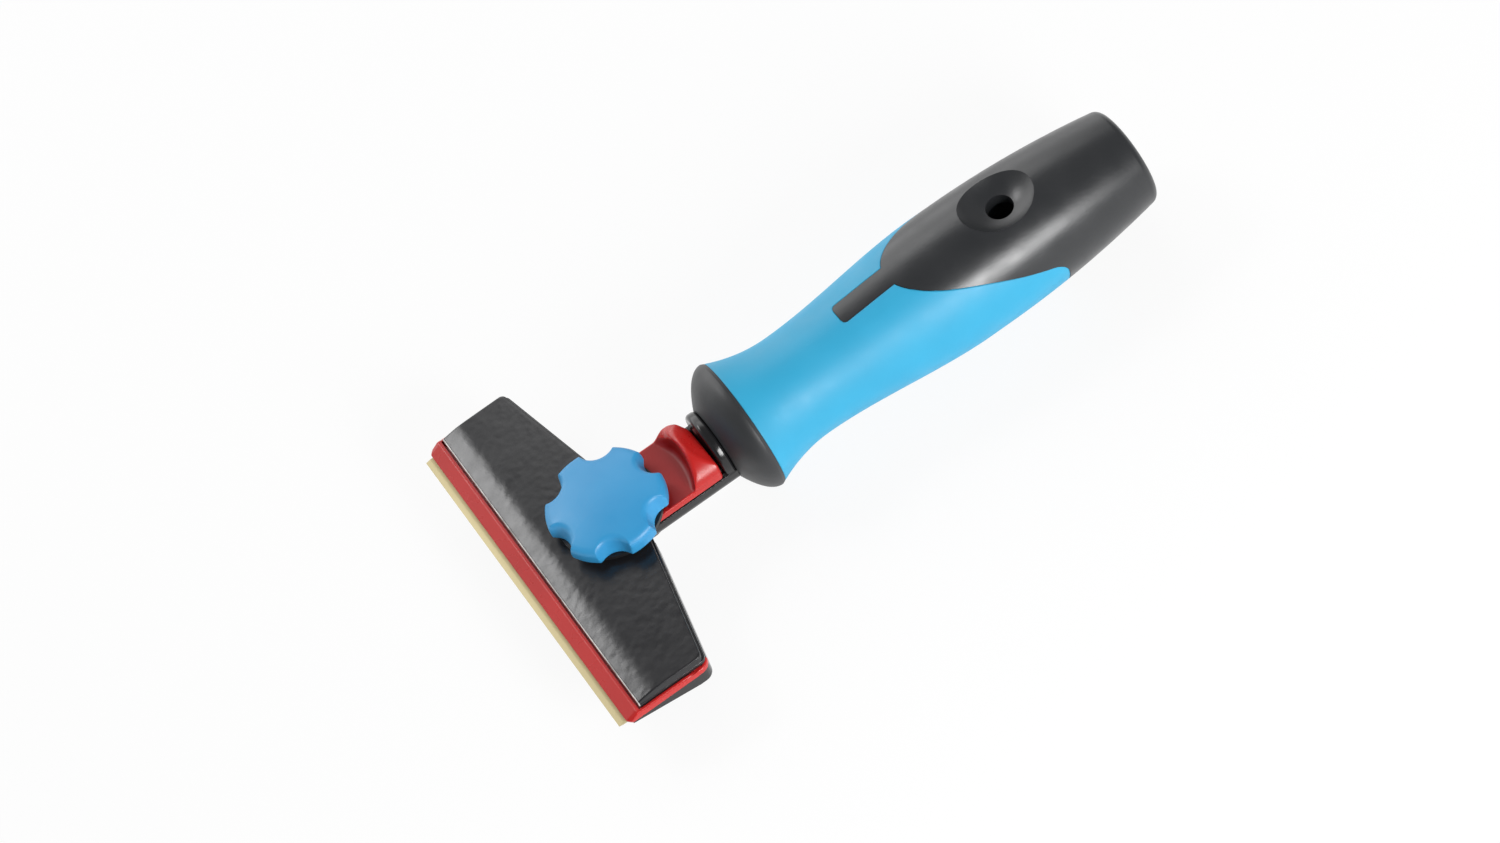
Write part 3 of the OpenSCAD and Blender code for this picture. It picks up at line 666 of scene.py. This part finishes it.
def guard_bar():
    """Front bar: a section drawn in (y, z), swept along the edge and cut off at its corners."""
    front, nose_z, slope_y, back, top = 2.2, 1.0, 5.5, 6.35, 2.9
    end_r, corner, corner_soft = 0.6, 1.2, math.sqrt(0.05)
    section = rounded([
        (front, GUARD_LOW, 0), (front, nose_z, 0.25), (slope_y, top, 0.5),
        (back, top, 0.04), (back, GUARD_LOW, 0)
    ])
    xs = np.concatenate([GUARD_HALF - end_r * ramp(0, 1, 9) ** 2, ramp(51, 50.2, 7), ramp(49, 0, 20)])
    xs = np.concatenate([-xs, xs[-2::-1]])
    ahead = front + above(np.abs(xs) - (GUARD_HALF - corner), corner_soft)
    ends = fillet(GUARD_HALF - np.abs(xs), end_r)
    y = np.maximum(section[None, :, 0], ahead[:, None])
    z = np.minimum(section[None, :, 1], top - ends[:, None])
    return tube(np.stack([xs[:, None] + 0 * y, y, z], -1))


def guard_rib(side):
    """Rib along one end of the guard: a rounded section swept back and round the corner."""
    low, top, thick, front = 0.6, 2.8, 0.85, 6.2
    inner_x, turn_x, turn_y, turn_r = 50.84, 48.3, 24.4, 2.55
    sink_depth, sink_from, sink_run = 0.42, 19.5, 4.5
    section = rounded([(0, low, 0), (0, top, 0.12), (thick, top, 0.6), (thick, low, 0)], 10)
    path = [(inner_x, y, 1, 0) for y in ramp(front, turn_y, 24)]
    for a in ramp(0, math.radians(70), 12)[1:]:
        out = (math.cos(a), math.sin(a))
        path.append((turn_x + turn_r * out[0], turn_y + turn_r * out[1], *out))
    rows = []
    for x, y, out_x, out_y in path:
        # It stays under the plate where it turns the corner
        sink = sink_depth * ease(np.clip((y - sink_from) / sink_run, 0, 1)) / (top - low)
        rows.append([(side * (x + o * out_x), y + o * out_y, z - sink * (z - low)) for o, z in section])
    return tube(rows)


def guard_sheet():
    """Sheet under the clamp plate with its tongue along the neck, and slots for the pins and the bolt."""
    half, top, front, end, back = GUARD_HALF - 0.02, 2.4, 6.9, 25.5, 33.4
    root_x, tongue_x, tongue_end = 12, 7.4, 58.4
    right = rounded([
        (0, front, 0), (half, front, 0), (half, end, 3.0), (root_x, back, 0),
        (tongue_x, back, 0), (tongue_x, tongue_end, 0), (0, tongue_end, 0)
    ])
    slots = [round_slot(PIN_HOLE_R, s * PIN_X, PIN_Y, GUARD_TRAVEL) for s in (-1, 1)]
    slots.append(round_slot(BOLT_HOLE_R, 0, BOLT_Y, GUARD_TRAVEL))
    return plate(mirrored(right), slots, GUARD_LOW, top)


def rest_crown(x):
    """Height of the thumb rest's arch, which is flatter on the left."""
    left_r, right_r = 13.8, 11.8
    r = np.where(x < 0, left_r, right_r)
    return REST_TOP - r + np.sqrt(r * r - np.minimum(np.abs(x), REST_HALF) ** 2)


def left_share(x):
    """How far x lies in the left end of the thumb rest, from 0 to 1."""
    start, run = -4, 5
    return np.clip((start - x) / run, 0, 1)


def scoop_y(x, z):
    """Place of the scoop's wall: an arc round the knob, which leans back as it rises."""
    centre, r, lean = 31.0, 22, 0.12
    return centre + math.sqrt((r + lean * (z - REST_FLOOR)) ** 2 - x * x)


def rear_y(x):
    """Rear edge of the thumb rest: cut off slantwise at the left and rounded at the right."""
    rear, corner_r = 58.8, 1.2
    slant_from, slant, slant_drop, slant_soft = -4.9, 0.81, 0.1, 0.8
    if x < 0:
        return rear - above(slant * (slant_from - x) - slant_drop, slant_soft)
    return rear - fillet(REST_HALF - x, corner_r)


def rest_row(x, front, crown, floor_at):
    """One lengthwise section of the thumb rest in (y, z), from its front foot to its rear foot."""
    sill_r, sill_run = 0.25, 0.3
    foot_most, foot_share, crest_most, crest_share, crest_draw = 1.8, 0.55, 1.4, 0.4, 1.6
    height = crown - floor_at
    # Radii at the wall's foot and at the crest, smaller where the wall is low
    foot_r = min(foot_most, foot_share * height)
    crest_r = min(crest_most, crest_share * height)
    # Towards the left the crest's rounding is drawn out
    crest_run = crest_r * (1 + crest_draw * max(-x / REST_HALF, 0) ** 2)
    sill_z = floor_at - sill_r
    crest_z = crown - crest_r
    start = scoop_y(x, floor_at + foot_r) - foot_r
    edge = scoop_y(x, crest_z)
    first = edge + crest_run
    last = rear_y(x)
    row = [(front, REST_LOW), (front, sill_z)]
    row += [(front + sill_r * (1 - math.cos(a)), sill_z + sill_r * math.sin(a)) for a in quarter(4)]
    row += [(y, floor_at) for y in ramp(front + sill_run, FLOOR_Y + sill_run, 5)]
    row += [(y, floor_at) for y in ramp(FLOOR_Y + sill_run, start, 9)[1:]]
    rise = [(start + foot_r * math.sin(a), floor_at + foot_r * (1 - math.cos(a))) for a in quarter(10)]
    rise += [(scoop_y(x, z), z) for z in ramp(floor_at + foot_r, crest_z, 8)[1:]]
    rise += [(edge + crest_run * (1 - math.cos(a)), crest_z + crest_r * math.sin(a)) for a in quarter(7)]
    # Towards the left the wall eases into a ramp
    u = ramp(0, 1, len(rise) + 1)[1:]
    slide = np.column_stack([start + (first - start) * u, floor_at + height * ease(u)])
    lean = left_share(x)
    row += ((1 - lean) * np.array(rise) + lean * slide).tolist()
    steps = np.concatenate([ramp(0, 0.9, 16)[1:], (0.95, 0.98, 1.0)])
    row += [(y, crown) for y in first + (last - first) * steps]
    return row + [(last, REST_LOW)]


def thumb_rest():
    """Thumb rest: rails, floor, scoop with a filleted wall, arched crest and sloping back."""
    arch_x, shoulder_r, shoulder_share, lip_r = 9, 1.0, 0.4, 0.35
    back_y, back_from, back_fall, back_run = 53, 53.9, 3.9, 4.9
    back_width, back_sink, back_r = 1.2, 0.6, 0.5
    # Columns: the arch, then a small radius down to the side, with a step at the rail's inner face
    ax = np.concatenate([ramp(0, arch_x, 34), arch_x + np.sin(ramp(0, 1, 9)[1:] * np.pi / 2)])
    ax = np.sort(np.concatenate([ax[np.abs(ax - RAIL_X) > 0.1], (RAIL_X, RAIL_X)]))
    front = np.full(len(ax), FLOOR_Y)
    front[np.searchsorted(ax, RAIL_X, "right") - 1:] = RAIL_Y
    front = np.concatenate([front[:0:-1], front])
    xs = np.concatenate([-ax[:0:-1], ax])
    side = REST_HALF - np.abs(xs)
    crown = rest_crown(xs) - shoulder_share * fillet(side, shoulder_r)
    floors = REST_FLOOR - fillet(side, lip_r)
    rows = np.array([rest_row(*column) for column in zip(xs, front, crown, floors)])
    y, z = rows[..., 0], rows[..., 1]
    # Sloping back with soft edges, taken off the crest
    slope = REST_TOP - (y - back_from) * back_fall / back_run
    sloped = np.minimum(z, lower_of(slope, z, back_width, back_sink)) - fillet(y[:, -1:] - y, back_r)
    back = (z > REST_FLOOR + back_r) & (y > back_y)
    return tube(np.stack([xs[:, None] + 0 * y, y, np.where(back, sloped, z)], -1))


def make_guard():
    """Red guard in one moulding."""
    dull_shade_back, dull_shade_half, dull_shade_share, dull_shade_less = 55, 9.6, 0.78, 0.4
    floor_spare, facing_back = 0.2, 0.1
    # Blocks that join the bar to the sheet and the thumb rest to the tongue
    groove = plate(box(51.6, 5.8, 7.0), [], 0.52, 1.2)
    foot = plate(box(7.38, 42.32, 58.38), [], 2.3, 4.5)
    verts, faces = lay(
        guard_bar(), guard_rib(1), guard_rib(-1), guard_sheet(), groove, foot, thumb_rest()
    )
    obj = dress(shape("guard_moulding", verts, faces, 40), "guard", "blade_guard")
    # The scoop's floor and wall get a darker red, painted shade of the hollow, and a duller gloss than the
    # rest
    obj.data.materials.append(DULL_SHADED_RED)
    for face in obj.data.polygons:
        x, y, z = millimetres(face.center)
        share = dull_shade_share - dull_shade_less * left_share(x)
        top = REST_FLOOR + share * (rest_crown(x) - REST_FLOOR)
        in_scoop = FLOOR_Y < y < dull_shade_back and abs(x) < dull_shade_half and REST_FLOOR - floor_spare < z < top
        # Only faces that look forwards or up
        if in_scoop and face.normal.y < facing_back:
            face.material_index = 1


# Clamp plate

def clamp_pad():
    """Raised part of the clamp plate: a softly bent top with rounded edges, down into the base."""
    half, front_y, back_x, back_y, end_y = 50.3, 6.9, 12.0, 34.4, 26.5
    top_z, bend_y, bend_slope, bend_soft, bend_from, bend_to = 5.5, 11.6, 0.24, 2.0, 7.7, 17
    corner_r, edge_r, front_r = 1.7, 0.4, 0.45
    foot_half, foot_z, far = 50.66, 3.3, 9
    along = np.array((half - back_x, end_y - back_y))
    along /= np.linalg.norm(along)
    out = np.array((-along[1], along[0]))
    # Centre of the back corner's arc, inside both its edges
    cx = half - corner_r
    cy = back_y + (out @ (back_x, 0) - corner_r - out[0] * cx) / out[1]
    near = edge_r * ramp(0, 1, 7) ** 1.5
    xs = np.concatenate([
        half - near, cx + (half - edge_r - cx) * ramp(1, 0, 10)[1:],
        ramp(cx, back_x, 24)[1:], ramp(back_x, 0, 8)[1:]
    ])
    xs = np.concatenate([-xs, xs[-2::-1]])
    rows = []
    for x in np.abs(xs):
        if x <= back_x:
            end = back_y
        elif x < cx + corner_r * out[0]:
            end = back_y + (out @ (back_x, 0) - out[0] * x) / out[1]
        else:
            end = cy + math.sqrt(max(corner_r ** 2 - (x - cx) ** 2, 0))
        # Rows, closer together at the edges and over the bend
        rows.append(np.concatenate([
            front_y + 1.5 * near, ramp(bend_from, bend_to, 25),
            ramp(bend_to, end - edge_r, 16)[1:-1], end - near[::-1]
        ]))
    y = np.array(rows)
    x = np.repeat(xs[:, None], y.shape[1], 1)
    ax = np.abs(x)
    # Distance from the nearest edge, for the rounding
    side = np.where(ax > back_x, out[0] * (back_x - ax) + out[1] * (back_y - y), far)
    gap = np.minimum.reduce([y - front_y, half - ax, back_y - y, side])
    round_gap = corner_r - np.hypot(ax - cx, y - cy)
    gap = np.where((ax > cx) & (y > cy), np.minimum(gap, round_gap), gap)
    # Bent front: the slope eases into the flat top
    z = top_z - bend_slope * above(bend_y - y, bend_soft)
    z = z - np.maximum(fillet(np.maximum(gap, 0), edge_r), fillet(y - front_y, front_r))
    verts = np.stack([x, y, z], -1).reshape(-1, 3).tolist()
    faces = grid(*y.shape)
    index = np.arange(y.size).reshape(y.shape)
    rim = np.concatenate([index[0], index[1:, -1], index[-1, -2::-1], index[-2:0:-1, 0]]).tolist()
    base, m = len(verts), len(rim)
    # Its ends lean out to the edge of the base
    verts += [(verts[i][0] * foot_half / half, verts[i][1], foot_z) for i in rim]
    faces += [(rim[k], rim[(k + 1) % m], base + (k + 1) % m, base + k) for k in range(m)]
    faces.append(tuple(range(base, base + m)))
    return verts, faces


def make_clamp():
    """Clamp plate: a base and the bent pad raised on it."""
    half, front, end, root_x, back = 50.7, 6.92, 27.1, 12, 35.0
    low, top, edge_r, crease = 2.5, 3.7, 0.25, 40
    wear_and_highlight_back, wear_and_highlight_low, facing_up = 7.2, 3.4, 0.1
    drill_from = 2
    right = rounded([(0, front, 0), (half, front, 0.4), (half, end, 2.0), (root_x, back, 0), (0, back, 0)])
    base = shape("clamp_base", *plate(mirrored(right), [], low, top, edge_r), crease)
    pad = shape("clamp_top", *clamp_pad(), crease)
    # The bolt goes through; the pins end in pockets
    for obj, bolt_to, pins_to in ((base, 4.5, 3.68), (pad, 6, 3.7)):
        drill(obj, 0, BOLT_Y, BOLT_HOLE_R, drill_from, bolt_to, crease)
        for s in (-1, 1):
            drill(obj, s * PIN_X, PIN_Y, PIN_HOLE_R, drill_from, pins_to, crease)
    join(base, pad)
    base.name = "clamp_cover"
    dress(base, "clamp", "clamp_plate")
    # The front edge is pale: paint rubbed off it, and a painted highlight along its rounding
    base.data.materials.append(EDGE_WEAR_AND_HIGHLIGHT)
    for face in base.data.polygons:
        _, y, z = millimetres(face.center)
        if y < wear_and_highlight_back and z > wear_and_highlight_low and face.normal.z > facing_up:
            face.material_index = 1


make_frame()
make_grip()
make_core()
make_knob()
make_guard()
make_clamp()


# Floor, light and camera

def floor():
    """Floor with the object's shadow on it; to the camera and in reflections it is mostly plain white."""
    half, pale, plain_share = 6, 0.95, 0.9
    mat, tree, bsdf = material("floor")
    bsdf.inputs["Base Color"].default_value = (pale, pale, pale, 1)
    bsdf.inputs["Roughness"].default_value = 0.9
    bsdf.inputs["Specular IOR Level"].default_value = 0.0
    path = tree.nodes.new("ShaderNodeLightPath")
    white = tree.nodes.new("ShaderNodeEmission")
    white.inputs["Strength"].default_value = 1.0
    seen = path.outputs["Is Camera Ray"]
    for ray in ("Is Glossy Ray", "Is Transmission Ray"):
        seen = combine(tree, "MAXIMUM", seen, path.outputs[ray])
    mix = tree.nodes.new("ShaderNodeMixShader")
    tree.links.new(combine(tree, "MULTIPLY", seen, plain_share), mix.inputs["Fac"])
    tree.links.new(bsdf.outputs["BSDF"], mix.inputs[1])
    tree.links.new(white.outputs["Emission"], mix.inputs[2])
    tree.links.new(mix.outputs["Shader"], tree.nodes["Material Output"].inputs["Surface"])
    mesh = bpy.data.meshes.new("floor")
    mesh.from_pydata([(x, y, 0) for x, y in box(half, -half, half)], [], [(0, 1, 2, 3)])
    mesh.materials.append(mat)
    obj = bpy.data.objects.new("floor", mesh)
    scene.collection.objects.link(obj)


def studio():
    """Studio tent: bright at the left, dimmer overhead and in front."""
    world = bpy.data.worlds.new("studio")
    scene.world = world
    world.use_nodes = True
    tree = world.node_tree
    tree.nodes.clear()
    out = tree.nodes.new("ShaderNodeOutputWorld")
    back = tree.nodes.new("ShaderNodeBackground")
    coord = tree.nodes.new("ShaderNodeTexCoord")

    def lobe(toward, span, low, high):
        """Level that goes from low to high as a direction nears the one given."""
        dot = tree.nodes.new("ShaderNodeVectorMath")
        dot.operation = "DOT_PRODUCT"
        dot.inputs[1].default_value = Vector(toward).normalized()
        tree.links.new(coord.outputs["Generated"], dot.inputs[0])
        return spread(tree, dot.outputs["Value"], low, high, span)

    left = lobe((-1.0, -0.25, 0.1), (0.6, 0.97), 0.38, 3.0)
    overhead = lobe((0.3, 0.1, 0.95), (0.5, 1.0), 1.0, 0.6)
    tree.links.new(combine(tree, "MULTIPLY", left, overhead), back.inputs["Strength"])
    tree.links.new(back.outputs["Background"], out.inputs["Surface"])


def softbox(name, place, aim, size, power):
    """Rectangular lamp at a place, turned to what it aims at."""
    lamp = bpy.data.lights.new(name, "AREA")
    lamp.shape = "RECTANGLE"
    lamp.size, lamp.size_y = size
    lamp.energy = power
    obj = bpy.data.objects.new(name, lamp)
    obj.location = place
    obj.rotation_euler = (Vector(aim) - Vector(place)).to_track_quat("-Z", "Y").to_euler()
    scene.collection.objects.link(obj)


def camera():
    """Camera as fitted to the photograph: its place, its axes and its lens."""
    place = (0.59518, -0.13037, 0.90640)
    right, up, back = (0.5224, 0.8146, -0.2520), (-0.6485, 0.5715, 0.5028), (0.5536, -0.0993, 0.8269)
    cam = bpy.data.cameras.new("camera")
    cam.sensor_fit = "HORIZONTAL"
    cam.sensor_width = 36.0
    cam.lens = 100.755
    cam.clip_start = 0.01
    obj = bpy.data.objects.new("camera", cam)
    turn = Matrix((right, up, back)).transposed().to_quaternion()
    turn.normalize()
    obj.rotation_mode = "QUATERNION"
    obj.rotation_quaternion = turn
    obj.location = place
    scene.collection.objects.link(obj)
    scene.camera = obj


floor()
studio()
softbox("left_box", (-0.485, -0.316, 0.63), (0, -0.05, 0.02), (0.28, 0.16), 1.32)
softbox("back_box", (-0.63, 0.21, 0.62), (-0.63, 0.21, 0), (0.5, 0.5), 1.3)
softbox("right_box", (0.60, 0.15, 0.29), (0, 0.05, 0.02), (0.28, 0.24), 3.9)
camera()
scene.view_settings.view_transform = "Standard"
